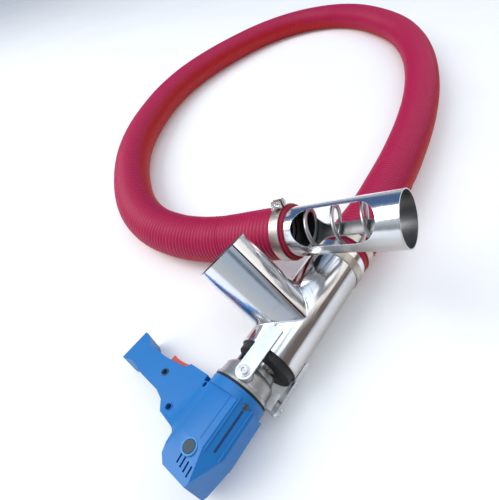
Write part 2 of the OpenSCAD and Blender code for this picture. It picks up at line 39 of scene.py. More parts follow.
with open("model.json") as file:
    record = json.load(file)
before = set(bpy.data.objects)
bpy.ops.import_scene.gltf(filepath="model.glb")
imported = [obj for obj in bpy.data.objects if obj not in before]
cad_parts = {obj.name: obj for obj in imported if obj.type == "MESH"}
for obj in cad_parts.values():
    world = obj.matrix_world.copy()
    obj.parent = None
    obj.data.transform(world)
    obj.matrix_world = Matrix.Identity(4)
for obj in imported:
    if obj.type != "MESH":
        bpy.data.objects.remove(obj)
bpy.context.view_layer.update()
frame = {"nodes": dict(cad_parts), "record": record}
NODES = frame["nodes"]
SLOT_OF = {sub["node"]: sub["material_slot"] for sub in frame["record"]["subparts"]}
BODY_OF = {node: body for body, nodes in frame["record"]["behaviour"]["bodies"].items() for node in nodes}

# ---- Places, as the CAD source gives them, in metres ----

DROOP = math.radians(8.4)
AXIS_Z = 0.172 * math.sin(DROOP) + 0.017 * math.cos(DROOP)
RIM = np.array([-0.041, -0.0656, AXIS_Z])
TUBE_R, TUBE_WALL, TUBE_LEN = 0.038, 0.0015, 0.171
SPOUT_R, SPOUT_LEN, SPOUT_AT, SPOUT_LIFT = 0.0375, 0.128, 0.059, math.radians(41)
TURN, TILT = math.radians(-79.0), math.radians(22.0)
CROSSING = np.array([0.122, -0.0646, AXIS_Z + 0.0744 / math.cos(TILT)])
PICKUP_R, PICKUP_WALL, PICKUP_TAIL, PICKUP_MOUTH = 0.034, 0.0015, 0.122, 0.092
WINDOW_FROM, WINDOW_TO, WINDOW_ANGLE, WINDOW_TURN = -0.041, 0.067, math.radians(88), math.radians(225)
HOSE_LIP = -0.053
RIBBON_OUT, RIBBON_IN, RIBBON_T, PITCH = 0.0305, 0.024, 0.003, 0.037
HOSE_TOP, HOSE_BORE = 0.0379, 0.0341
HOSE_SIDES, ROWS_PER_RIB, BORE_STEP = 28, 6, 8
RIBBON_START, FEED_START, FEED_LEN, FEED_TURNS = 0.008, 0.023, 0.204, 5.5
RIPPLE, RIPPLES = 0.16, 110
# Painted reflection: the polished steel is tinted brown where it faces this direction.
PAINTED_REFLECTION_FACING = np.array([-0.52, -0.80, -0.30])

X, Y, Z = np.eye(3)


def turned_about_x(angle):
    """Side and up unit vectors, Y and Z, turned about X by an angle from Y towards Z."""
    return Y * math.cos(angle) + Z * math.sin(angle), Z * math.cos(angle) - Y * math.sin(angle)


DRILL_Y, DRILL_Z = turned_about_x(-DROOP)
PICKUP_AXIS = np.array([math.cos(TILT) * math.cos(TURN), math.cos(TILT) * math.sin(TURN), math.sin(TILT)])
PICKUP_Y = np.array([-math.sin(TURN), math.cos(TURN), 0.0])
PICKUP_X = np.cross(PICKUP_Y, PICKUP_AXIS)
SPOUT_DIR, SPOUT_SIDE = turned_about_x(SPOUT_LIFT)

ROUTE = np.array([
    tuple(RIM + 0.182 * X), (0.2, RIM[1], AXIS_Z), (0.26, -0.065, 0.041), (0.335, -0.058, 0.0385),
    (0.425, -0.048, 0.038), (0.545, -0.028, 0.038), (0.67, 0.002, 0.038), (0.79, 0.042, 0.038),
    (0.9, 0.09, 0.038), (1.0, 0.148, 0.038), (1.085, 0.215, 0.038), (1.155, 0.3, 0.038),
    (1.205, 0.395, 0.038), (1.215, 0.49, 0.038), (1.18, 0.575, 0.038), (1.11, 0.64, 0.038),
    (1.01, 0.685, 0.038), (0.89, 0.708, 0.038), (0.76, 0.716, 0.038), (0.63, 0.706, 0.038),
    (0.5, 0.672, 0.038), (0.385, 0.62, 0.038), (0.285, 0.56, 0.038), (0.2, 0.488, 0.038),
    (0.13, 0.405, 0.038), (0.085, 0.33, 0.038), (0.065, 0.262, 0.038), (0.066, 0.2, 0.0395),
    (0.076, 0.15, 0.044), (0.087, 0.108, 0.053), tuple(CROSSING - 0.165 * PICKUP_AXIS),
    tuple(CROSSING - PICKUP_TAIL * PICKUP_AXIS), tuple(CROSSING + HOSE_LIP * PICKUP_AXIS),
])


# ---- Meshes from grids of points ----

def add_object(name, mesh):
    obj = bpy.data.objects.new(name, mesh)
    bpy.context.scene.collection.objects.link(obj)
    return obj


def grid_faces(m, n, close_u=False, close_v=False, start=0):
    """Faces between neighbours of an m by n grid of points, whose rows or columns may close."""
    a, b = np.meshgrid(np.arange(m if close_u else m - 1), np.arange(n if close_v else n - 1), indexing="ij")
    a2, b2 = (a + 1) % m, (b + 1) % n
    return start + np.stack([a * n + b, a2 * n + b, a2 * n + b2, a * n + b2], axis=-1).reshape(-1, 4)


def mesh_of(name, grids):
    """One mesh from several grids, each (points, close_u, close_v, flip)."""
    points, faces, start = [], [], 0
    for grid, close_u, close_v, flip in grids:
        m, n = grid.shape[:2]
        quads = grid_faces(m, n, close_u, close_v, start)
        faces.append(quads[:, ::-1] if flip else quads)
        points.append(grid.reshape(-1, 3))
        start += m * n
    points, faces = np.vstack(points), np.vstack(faces)
    mesh = bpy.data.meshes.new(name)
    mesh.vertices.add(len(points))
    mesh.vertices.foreach_set("co", points.astype(np.float32).ravel())
    mesh.loops.add(faces.size)
    mesh.loops.foreach_set("vertex_index", faces.ravel().astype(np.int32))
    mesh.polygons.add(len(faces))
    mesh.polygons.foreach_set("loop_start", np.arange(len(faces), dtype=np.int32) * 4)
    mesh.polygons.foreach_set("use_smooth", np.ones(len(faces), dtype=bool))
    mesh.update(calc_edges=True)
    return add_object(name, mesh)


def tidy(obj, sharp=35.0, outwards=False, merge=2e-6):
    """Merges doubles, drops empty faces, and keeps edges sharper than an angle sharp."""
    work = bmesh.new()
    work.from_mesh(obj.data)
    bmesh.ops.remove_doubles(work, verts=work.verts, dist=merge)
    bmesh.ops.dissolve_degenerate(work, dist=merge / 2, edges=work.edges)
    if outwards:
        bmesh.ops.recalc_face_normals(work, faces=work.faces)
    work.to_mesh(obj.data)
    work.free()
    obj.data.set_sharp_from_angle(angle=math.radians(sharp))
    return obj


def rounded(obj, width, segments=3, angle=40.0):
    """Rounds every edge sharper than an angle, and evens out the shading of the flat faces between."""
    bevel = obj.modifiers.new("rounding", "BEVEL")
    bevel.width, bevel.segments, bevel.profile = width, segments, 0.5
    bevel.limit_method, bevel.angle_limit = "ANGLE", math.radians(angle)
    bevel.use_clamp_overlap, bevel.harden_normals = True, False
    bevel.miter_outer = "MITER_ARC"
    normal = obj.modifiers.new("even", "WEIGHTED_NORMAL")
    normal.keep_sharp, normal.weight = True, 60
    return obj


def copy_of(node, name, width, segments=3, angle=40.0):
    """A merged copy of a CAD node with its flat faces joined up and its edges rounded."""
    mesh = NODES[node].data.copy()
    mesh.name = name
    obj = add_object(name, mesh)
    work = bmesh.new()
    work.from_mesh(mesh)
    bmesh.ops.remove_doubles(work, verts=work.verts, dist=3e-6)
    bmesh.ops.dissolve_limit(work, angle_limit=math.radians(0.6), verts=work.verts, edges=work.edges,
                             use_dissolve_boundaries=False)
    work.to_mesh(mesh)
    work.free()
    if mesh.attributes.get("custom_normal"):
        mesh.attributes.remove(mesh.attributes["custom_normal"])
    mesh.polygons.foreach_set("use_smooth", np.ones(len(mesh.polygons), dtype=bool))
    mesh.set_sharp_from_angle(angle=math.radians(angle))
    return rounded(obj, width, segments, angle)


def spline(points, per_span):
    """Catmull-Rom curve through the points, per_span samples a span, with its ends drawn on straight."""
    p = np.vstack([2 * points[0] - points[1], points, 2 * points[-1] - points[-2]])
    t = np.linspace(0, 1, per_span, endpoint=False)[None, :, None]
    p0, p1, p2, p3 = (p[k:len(p) - 3 + k, None, :] for k in range(4))
    c = 0.5 * (2 * p1 + (p2 - p0) * t + (2 * p0 - 5 * p1 + 4 * p2 - p3) * t ** 2
               + (3 * p1 - p0 - 3 * p2 + p3) * t ** 3)
    return np.vstack([c.reshape(-1, 3), points[-1:]])


def by_length(curve, count):
    """The same curve at count points an equal length apart, and its whole length."""
    d = np.r_[0, np.cumsum(np.linalg.norm(np.diff(curve, axis=0), axis=1))]
    s = np.linspace(0, d[-1], count)
    return np.stack([np.interp(s, d, curve[:, k]) for k in range(3)], axis=1), d[-1]


def across(curve):
    """Side and up vectors along a curve that never turns vertical."""
    d = np.gradient(curve, axis=0)
    d /= np.linalg.norm(d, axis=1)[:, None]
    side = np.cross(Z, d)
    side /= np.linalg.norm(side, axis=1)[:, None]
    return side, np.cross(d, side)


def round_a_line(origin, axis, u, v, along, radius, angle):
    """Points at origin + along * axis + radius * (cos angle * u + sin angle * v), all broadcast together."""
    along, radius, angle = np.broadcast_arrays(along, radius, angle)
    return (origin + along[..., None] * axis
            + (radius * np.cos(angle))[..., None] * u + (radius * np.sin(angle))[..., None] * v)


def lathed(name, origin, axis, u, v, profile, count=96):
    """A profile of (along, radius) pairs turned once round an axis, closed on itself."""
    along, radius = (np.array(column)[:, None] for column in zip(*profile))
    angle = np.linspace(0, 2 * math.pi, count, endpoint=False)[None, :]
    return mesh_of(name, [(round_a_line(origin, axis, u, v, along, radius, angle), True, True, False)])


def keep_numbers(obj, name, values):
    """Stores one number for each vertex, for the piece's material to read."""
    kept = obj.data.attributes.new(name, "FLOAT", "POINT")
    kept.data.foreach_set("value", values.astype(np.float32).ravel())


def mark_bores(obj, *bores):
    """Keeps two numbers at each vertex: bore is 1 inside a bore, where the steel paints shade, and the second
    is how far the vertex faces the direction where the steel paints a brown reflection.

    A bore is (origin, axis, radius) and runs from its origin along its axis.
    """
    points = np.empty(len(obj.data.vertices) * 3, dtype=np.float32)
    obj.data.vertices.foreach_get("co", points)
    inside = np.zeros(len(points) // 3, dtype=bool)
    for origin, axis, radius in bores:
        away = points.reshape(-1, 3) - origin
        along = away @ axis
        inside |= (along > -1e-3) & (np.linalg.norm(away - along[:, None] * axis, axis=1) < radius)
    # Painted shade: the steel's finish darkens every vertex marked here as inside a bore.
    keep_numbers(obj, "bore", inside)
    normals = np.empty(len(points), dtype=np.float32)
    obj.data.vertex_normals.foreach_get("vector", normals)
    # Painted reflection: how far each vertex faces the direction where the steel is tinted brown.
    keep_numbers(obj, "lee", normals.reshape(-1, 3) @ PAINTED_REFLECTION_FACING)
    return obj


# ---- Shader maths ----

class Socket:
    """A shader socket that takes part in Python sums."""

    def __init__(self, tree, socket):
        self.tree, self.socket = tree, socket

    def _sum(self, operation, *terms):
        node = self.tree.nodes.new("ShaderNodeMath")
        node.operation = operation
        for slot, term in zip(node.inputs, terms):
            if isinstance(term, Socket):
                self.tree.links.new(term.socket, slot)
            else:
                slot.default_value = term
        return Socket(self.tree, node.outputs[0])

    def __add__(self, other): return self._sum("ADD", self, other)
    def __radd__(self, other): return self._sum("ADD", other, self)
    def __sub__(self, other): return self._sum("SUBTRACT", self, other)
    def __rsub__(self, other): return self._sum("SUBTRACT", other, self)
    def __mul__(self, other): return self._sum("MULTIPLY", self, other)
    def __rmul__(self, other): return self._sum("MULTIPLY", other, self)
    def __truediv__(self, other): return self._sum("DIVIDE", self, other)
    def __pow__(self, other): return self._sum("POWER", self, other)


class Nodes:
    """One shader tree and the calls that add nodes to it."""

    def __init__(self, tree):
        self.tree = tree

    def node(self, kind, settings=None, out=0, **sockets):
        """Any node: its settings first, then its sockets' values or links, by name or numbered s0, s1..."""
        node = self.tree.nodes.new(kind)
        for key, value in (settings or {}).items():
            if key == "stops":
                ramp = node.color_ramp.elements
                while len(ramp) < len(value):
                    ramp.new(0.5)
                for stop, (place, colour) in zip(ramp, value):
                    stop.position, stop.color = place, (*colour, 1.0)
            else:
                setattr(node, key, value)
        for key, value in sockets.items():
            slot = node.inputs[int(key[1:])] if key[0] == "s" and key[1:].isdigit() else node.inputs[key]
            if isinstance(value, Socket):
                self.tree.links.new(value.socket, slot)
            else:
                is_colour = isinstance(value, tuple) and len(slot.default_value) == 4
                slot.default_value = (*value, 1.0) if is_colour else value
        return Socket(self.tree, node.outputs[out])

    def place(self, stretch=(1.0, 1.0, 1.0)):
        """Object coordinates, stretched."""
        coordinates = self.node("ShaderNodeTexCoord", out=3)
        return self.node("ShaderNodeMapping", Vector=coordinates, Scale=stretch)

    def noise(self, scale, detail=3.0, stretch=(1.0, 1.0, 1.0), roughness=0.55, distortion=0.0):
        return self.node("ShaderNodeTexNoise", Vector=self.place(stretch), Scale=scale, Detail=detail,
                         Roughness=roughness, Distortion=distortion)

    def band(self, value, low, high, to_low=0.0, to_high=1.0):
        """Value carried from one range to another, and held at its ends."""
        return self.node("ShaderNodeMapRange", {"clamp": True}, s0=value,
                         s1=low, s2=high, s3=to_low, s4=to_high)

    def mix(self, share, first, second):
        return self.node("ShaderNodeMix", {"data_type": "RGBA"}, out=2, s0=share, s6=first, s7=second)

    def kept(self, name):
        """A number that the piece keeps at each vertex."""
        return self.node("ShaderNodeAttribute", {"attribute_name": name}, out=2)

    def bump(self, height, distance, strength=1.0, over=None):
        more = {"Normal": over} if over else {}
        return self.node("ShaderNodeBump", Height=height, Distance=distance, Strength=strength, **more)


class Finish(Nodes):
    """One material, whose nodes feed its one shader."""

    def __init__(self, name):
        self.material = bpy.data.materials.new(name)
        self.material.use_nodes = True
        super().__init__(self.material.node_tree)
        self.shader = self.tree.nodes["Principled BSDF"]

    def wear(self, **sockets):
        """Sets the shader's own sockets: numbers and colours directly, and what varies by a link."""
        for key, value in sockets.items():
            slot = self.shader.inputs[key.replace("_", " ")]
            if isinstance(value, Socket):
                self.tree.links.new(value.socket, slot)
            else:
                slot.default_value = (*value, 1.0) if isinstance(value, tuple) else value
        return self.material


def polished_steel(tint):
    """Thin polished tube: mirror skin with long polishing lines, faint smears and a few dull spots, a painted
    brown reflection on the side facing one fixed direction, and painted shade inside its bores.
    """
    f = Finish("polished_steel")
    smear = f.noise(14.0, 4.0, (1.0, 1.0, 1.0), distortion=0.8)
    lines = f.noise(260.0, 2.0, (0.12, 1.0, 1.0))
    dull = f.band(smear, 0.52, 0.74)
    bore = f.kept("bore")
    shade = f.mix(dull * 0.55, tuple(tint), tuple(c * 0.80 for c in tint))
    # Painted reflection: a brown tint on the side facing a fixed direction, standing for brown ground
    # mirrored in the steel.
    shade = f.mix(f.band(f.kept("lee"), 0.42, 0.80) * 0.72, shade, (0.37, 0.31, 0.265))
    # Painted shade: the inside of the bores is darkened towards a dark grey.
    shade = f.mix(bore * 0.85, shade, (0.16, 0.155, 0.15))
    rough = 0.13 + dull * 0.10 + f.band(lines, 0.35, 0.75) * 0.07 + bore * 0.22
    return f.wear(Base_Color=shade, Metallic=1.0, Roughness=rough,
                  Normal=f.bump(lines * 0.6 + smear * 6.0, 0.00006, 0.5))


def brushed(name, tint, rough=0.28, lines=700.0, stretch=(1.0, 1.0, 0.1), stain=None, amount=0.25):
    """Worked metal: fine lines one way, blotches of a second colour, and uneven gloss."""
    f = Finish(name)
    grain = f.noise(lines, 2.0, stretch)
    blotch = f.noise(55.0, 5.0, distortion=0.5)
    stained = f.band(blotch, 0.50, 0.72) * amount
    shade = f.mix(stained, tuple(tint), stain or tuple(c * 0.6 for c in tint))
    fine = f.mix(f.band(grain, 0.3, 0.7) * 0.18, shade, (0.95, 0.95, 0.95))
    return f.wear(Base_Color=fine, Metallic=1.0, Roughness=rough + stained * 0.25 + grain * 0.12,
                  Normal=f.bump(grain, 0.00008, 0.6))


def cast_aluminium(tint):
    """Die-cast case: a fine sandy skin, soft dark patches, and brighter where it is rubbed."""
    f = Finish("case_aluminium")
    sand = f.noise(1300.0, 3.0)
    patch = f.noise(38.0, 5.0, distortion=0.6)
    rubbed = f.noise(90.0, 3.0, (1.0, 0.4, 1.0))
    shade = f.mix(f.band(patch, 0.46, 0.70) * 0.65, tuple(tint), tuple(c * 0.60 for c in tint))
    shade = f.mix(f.band(rubbed, 0.58, 0.72) * 0.5, shade, (0.80, 0.80, 0.79))
    return f.wear(Base_Color=shade, Metallic=0.85, Roughness=0.36 + f.band(patch, 0.4, 0.7) * 0.18,
                  Normal=f.bump(sand, 0.00012, 0.9, f.bump(patch, 0.0004, 0.35)))


def moulded(name, tint, rough=0.42, grain=1500.0, depth=0.00007, dust=(0.55, 0.56, 0.58), coat=0.0):
    """Moulded plastic: fine spark grain, slow shade changes, a few scuffs and a little settled dust."""
    f = Finish(name)
    spark = f.noise(grain, 2.0)
    slow = f.noise(11.0, 3.0)
    scuff = f.noise(150.0, 4.0, (1.0, 0.18, 1.0), distortion=1.4)
    shade = f.mix(f.band(slow, 0.35, 0.7) * 0.35, tuple(tint), tuple(c * 0.72 for c in tint))
    shade = f.mix(f.band(scuff, 0.66, 0.78) * 0.10, shade, dust)
    return f.wear(Base_Color=shade, Roughness=rough + f.band(scuff, 0.6, 0.78) * 0.12 + spark * 0.05,
                  Coat_Weight=coat, Normal=f.bump(spark, depth, 0.8))


def hose_plastic(top, painted_shade_colour):
    """Ribbed hose: a painted lit colour on the side facing a fixed light direction and a painted shaded
    colour on the side away from it, and painted shade, duller too, in its grooves.
    """
    f = Finish("hose_plastic")
    rib, lee = f.kept("rib"), f.kept("lee")
    cloudy = f.noise(24.0, 4.0)
    # Painted shade: the share of the shaded colour, from how far the skin turns away from the light, with a
    # cloudy edge.
    turn = f.band(lee + cloudy * 0.2, 0.44, 0.66)
    skin = f.mix(turn, tuple(top), tuple(painted_shade_colour))
    # Painted shade: the grooves are darkened towards a third of the lit colour.
    skin = f.mix(f.band(rib, 0.55, 0.0) * 0.55, skin, tuple(c * 0.35 for c in top))
    skin = f.mix(f.band(cloudy, 0.55, 0.75) * 0.12, skin, (0.52, 0.05, 0.12))
    fine = f.noise(900.0, 2.0)
    return f.wear(Base_Color=skin, Roughness=0.38 + f.band(rib, 0.6, 0.0) * 0.22 + fine * 0.08,
                  Specular_IOR_Level=0.32, Normal=f.bump(fine, 0.00006, 0.5))


def seal_rubber():
    f = Finish("seal_rubber")
    grain, chalk = f.noise(1100.0, 3.0), f.noise(60.0, 4.0)
    shade = f.mix(f.band(chalk, 0.55, 0.8) * 0.4, (0.010, 0.010, 0.011), (0.05, 0.05, 0.052))
    return f.wear(Base_Color=shade, Roughness=0.5 + chalk * 0.2, Normal=f.bump(grain, 0.0001, 0.8))


def laminated():
    """Stacked sheet steel: thin lines across the axis."""
    f = Finish("lamination")
    sheets = f.node("ShaderNodeTexWave", {"wave_type": "BANDS", "bands_direction": "X"}, out=1,
                    Vector=f.place(), Scale=320.0, Distortion=0.2, Detail=1.0)
    shade = f.mix(sheets, (0.10, 0.10, 0.11), (0.30, 0.30, 0.31))
    return f.wear(Base_Color=shade, Metallic=0.7, Roughness=0.45 + sheets * 0.1,
                  Normal=f.bump(sheets, 0.0002, 0.7))


def wound_copper():
    """Lacquered wire lying side by side."""
    f = Finish("copper")
    wire = f.node("ShaderNodeTexWave", {"wave_type": "BANDS", "bands_direction": "DIAGONAL"}, out=1,
                  Vector=f.place(), Scale=260.0, Distortion=0.4, Detail=1.0)
    shade = f.mix(wire, (0.22, 0.07, 0.03), (0.62, 0.27, 0.13))
    return f.wear(Base_Color=shade, Metallic=0.9, Roughness=0.3 + wire * 0.12,
                  Normal=f.bump(wire, 0.0004, 0.8))


def pale_floor():
    f = Finish("pale_floor")
    slow, fine = f.noise(3.0, 3.0), f.noise(160.0, 3.0)
    shade = f.mix(f.band(slow, 0.3, 0.7), (0.84, 0.84, 0.84), (0.88, 0.88, 0.875))
    return f.wear(Base_Color=shade, Roughness=0.75 + fine * 0.1, Normal=f.bump(fine, 0.0001, 0.2),
                  Emission_Color=(0.97, 0.98, 1.0), Emission_Strength=0.10)


def make_finishes(look):
    steel = tuple(look.steel)
    return {
        "polished_steel": polished_steel(steel),
        "bracket_steel": brushed("bracket_steel", (0.80, 0.83, 0.86), 0.20, 500.0, (1.0, 1.0, 1.0),
                                 amount=0.15),
        "clamp_steel": brushed("clamp_steel", (0.54, 0.50, 0.42), 0.30, 420.0, (0.3, 1.0, 1.0),
                               stain=(0.30, 0.23, 0.13), amount=0.6),
        "fastener_steel": brushed("fastener_steel", (0.66, 0.66, 0.66), 0.26, 900.0,
                                  stain=(0.40, 0.37, 0.30)),
        "spiral_steel": brushed("spiral_steel", (0.40, 0.39, 0.38), 0.24, 600.0, amount=0.35),
        "machined_steel": brushed("machined_steel", (0.52, 0.53, 0.55), 0.25, 900.0, (0.1, 1.0, 1.0)),
        "bearing_steel": brushed("bearing_steel", (0.66, 0.67, 0.70), 0.16, 1200.0, amount=0.1),
        "bronze": brushed("bronze", (0.66, 0.42, 0.22), 0.34, 700.0, stain=(0.30, 0.18, 0.10)),
        "seal_rubber": seal_rubber(),
        "hose_plastic": hose_plastic(look.hose_painted_lit, look.hose_painted_shade),
        "case_aluminium": cast_aluminium((0.47, 0.47, 0.46)),
        "blue_plastic": moulded("blue_plastic", look.blue, 0.42, dust=(0.10, 0.30, 0.62)),
        "cap_rim": moulded("cap_rim", (0.07, 0.34, 0.72), 0.4),
        # Painted shadow: the dark blue of the flat strip that stands for a groove's shade on the drill.
        "shadow_blue": moulded("shadow_blue", (0.002, 0.040, 0.15), 0.5, dust=(0.004, 0.06, 0.20)),
        "trigger_plastic": moulded("trigger_plastic", look.trigger, 0.40),
        "dark_plastic": moulded("dark_plastic", look.cap, 0.46),
        "screw_black": brushed("screw_black", (0.035, 0.035, 0.042), 0.38, 900.0, stain=(0.12, 0.10, 0.09)),
        "lamination": laminated(),
        "copper": wound_copper(),
        "brass": brushed("brass", (0.72, 0.54, 0.24), 0.28, 800.0, stain=(0.36, 0.22, 0.10)),
        "carbon": moulded("carbon", (0.018, 0.018, 0.019), 0.55, 700.0, dust=(0.08, 0.08, 0.08)),
    }


FINISHES = {}


def finished(obj, slot):
    if not FINISHES:
        FINISHES.update(make_finishes(bpy.context.scene.auger_look))
    obj.data.materials.clear()
    obj.data.materials.append(FINISHES[slot])
    return obj


def stand_for(obj, *nodes):
    """Gives a piece the finish and the body of the CAD nodes that it stands for."""
    finished(obj, SLOT_OF[nodes[0]])
    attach(obj, BODY_OF[nodes[0]])
    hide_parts(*nodes)
    return obj


def add_to(obj, slot, body, finish=None):
    """A detail that no CAD node stands for, in its slot's finish or another."""
    finished(obj, finish or slot)
    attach(obj, body)
    return obj


# ---- Steel tubes ----

def junction_angles(outer, inner_r, count=64, rest=40):
    """Angles round a main tube of radius outer, from the spout's direction.

    Where a spout of radius inner_r meets it they follow asin(inner_r * sin t / outer) for even t,
    so the spout's own points fall on them, and they are even over the far side.
    """
    t = np.linspace(-math.pi / 2, math.pi / 2, count)
    near = np.arcsin(inner_r * np.sin(t) / outer)
    far = np.linspace(near[-1], 2 * math.pi + near[0], rest)[1:-1]
    reach = np.r_[inner_r * np.cos(t), np.zeros(len(far))]
    return np.r_[near, far], reach


def y_tubes():
    """Main tube and spout as one skin, outside and inside.

    The main tube is two grids, x = share * (centre - reach) and its mirror, where reach is how far the
    spout's circle spreads along the tube at that angle. The spout runs from sqrt(R^2 - (r sin t)^2) out.
    """
    grids = []
    for depth, flip in ((0.0, False), (TUBE_WALL, True)):
        R, r = TUBE_R - depth, SPOUT_R - depth
        angle, reach = junction_angles(R, r)
        share = np.linspace(0, 1, 24)[:, None]
        for start, end in ((0.0, SPOUT_AT - reach), (SPOUT_AT + reach, TUBE_LEN)):
            along = start + share * (end - start)
            skin = round_a_line(RIM, X, SPOUT_DIR, SPOUT_SIDE, along, R, angle[None, :])
            grids.append((skin, False, True, flip))
        half = np.linspace(-math.pi / 2, math.pi / 2, 64)
        t = np.r_[half, math.pi - half[1:-1]]
        foot = np.sqrt(np.maximum(R ** 2 - (r * np.sin(t)) ** 2, 0.0))
        along = foot + np.linspace(0, 1, 20)[:, None] * (SPOUT_LEN - foot)
        skin = round_a_line(RIM + SPOUT_AT * X, SPOUT_DIR, X, SPOUT_SIDE, along, r, t[None, :])
        grids.append((skin, False, True, not flip))
    outer, inner = grids[:3], grids[3:]
    for k, row in ((0, 0), (1, -1), (2, -1)):
        a, b = outer[k][0][row], inner[k][0][row]
        grids.append((np.stack([a, b]), False, True, False))
    obj = tidy(mesh_of("y_tubes", grids), 32, outwards=True)
    return mark_bores(obj, (RIM, X, TUBE_R - TUBE_WALL / 2),
                      (RIM + SPOUT_AT * X, SPOUT_DIR, SPOUT_R - TUBE_WALL / 2))


def weld_bead(width):
    """A rippled bead along the crease where spout and main tube meet: a small circle carried along it."""
    t = np.linspace(0, 2 * math.pi, 480, endpoint=False)
    foot = np.sqrt(TUBE_R ** 2 - (SPOUT_R * np.sin(t)) ** 2)
    line = round_a_line(RIM + SPOUT_AT * X, SPOUT_DIR, X, SPOUT_SIDE, foot, SPOUT_R, t)
    along = np.roll(line, -1, 0) - np.roll(line, 1, 0)
    along /= np.linalg.norm(along, axis=1)[:, None]
    out = line - (RIM + SPOUT_AT * X)
    out /= np.linalg.norm(out, axis=1)[:, None]
    side = np.cross(along, out)
    side /= np.linalg.norm(side, axis=1)[:, None]
    up = np.cross(side, along)
    a = np.linspace(0, 2 * math.pi, 10, endpoint=False)
    r = width * (1 + RIPPLE * np.cos(t * RIPPLES))[:, None]
    skin = (line[:, None] + (r * np.cos(a))[..., None] * up[:, None]
            + (r * np.sin(a))[..., None] * side[:, None])
    return tidy(mesh_of("weld_bead", [(skin, True, True, False)]), 80, outwards=True)


def ribbon(name, origin, axis, u, v, length, turns, from_angle=0.0):
    """A flat bar with softened corners wound round an axis: a squared-off oval carried along a helix."""
    n = int(turns * 60)
    t = np.linspace(0, 1, n)[:, None]
    k = np.linspace(0, 2 * math.pi, 20, endpoint=False)[None, :]
    soft = [np.sign(f(k)) * np.abs(f(k)) ** 0.45 for f in (np.cos, np.sin)]
    radius = (RIBBON_OUT + RIBBON_IN) / 2 + soft[0] * (RIBBON_OUT - RIBBON_IN) / 2
    along = (length - RIBBON_T) * t + RIBBON_T / 2 + soft[1] * RIBBON_T / 2
    skin = round_a_line(origin, axis, u, v, along, radius, from_angle + 2 * math.pi * turns * t)
    ends = [(np.stack([np.broadcast_to(row.mean(0), row.shape), row]), False, True, False)
            for row in (skin[0], skin[-1])]
    return tidy(mesh_of(name, [(skin, False, True, False)] + ends), 50, outwards=True)


def on_pickup(along, radius, angle):
    return round_a_line(CROSSING, PICKUP_AXIS, PICKUP_X, PICKUP_Y, along, radius, angle)


def pickup_skin():
    """Pickup tube with three oblong windows, outside and inside.

    Across a window y = half * sin t: the skin there stands at the angle asin(y / radius), and it stops
    half * (1 - cos t) inside the window's ends. Between two windows a bar runs the tube's whole length.
    """
    half = PICKUP_R * math.sin(WINDOW_ANGLE / 2)
    t = np.linspace(-math.pi / 2, math.pi / 2, 33)
    low, high = WINDOW_FROM + half * (1 - np.cos(t)), WINDOW_TO - half * (1 - np.cos(t))
    straight = np.linspace(low[-1], high[-1], 24)[1:-1]
    share = np.linspace(0, 1, 16)[:, None]
    grids, circles = [], {0: [], 1: []}
    for k in range(3):
        outlines = []
        for side, radius in enumerate((PICKUP_R, PICKUP_R - PICKUP_WALL)):
            angle = WINDOW_TURN + k * 2 * math.pi / 3 + np.arcsin(half * np.sin(t) / radius)
            before = share * (low + PICKUP_TAIL) - PICKUP_TAIL
            after = high + share * (PICKUP_MOUTH - high)
            edge = np.concatenate([before[:, -1], straight, after[:, -1]])
            bar = np.linspace(angle[-1], angle[0] + 2 * math.pi / 3, 13)
            for along, at in ((before, angle), (after, angle), (edge[:, None], bar)):
                grids.append((on_pickup(along, radius, at[None, :]), False, False, side == 1))
            outlines.append(on_pickup(
                np.concatenate([low, straight, high[::-1], straight[::-1]]), radius,
                np.concatenate([angle, 0 * straight + angle[-1], angle[::-1], 0 * straight + angle[0]])))
            circles[side] += [angle, bar[1:-1]]
        grids.append((np.stack(outlines), False, True, False))
    for along in (-PICKUP_TAIL, PICKUP_MOUTH):
        rims = [on_pickup(along, PICKUP_R - side * PICKUP_WALL, np.concatenate(circles[side]))
                for side in (0, 1)]
        grids.append((np.stack(rims), False, True, False))
    obj = tidy(mesh_of("pickup_windowed", grids), 32, outwards=True)
    return mark_bores(obj, (CROSSING - PICKUP_TAIL * PICKUP_AXIS, PICKUP_AXIS, PICKUP_R - PICKUP_WALL / 2))


# ---- Hose ----

HOSE_CURVE = spline(ROUTE, 40)
# Painted light: the hose takes its lit colour on the side facing this direction and its shaded colour away
# from it.
PAINTED_LIGHT_FROM = np.array([-0.40, 0.42, 0.81])


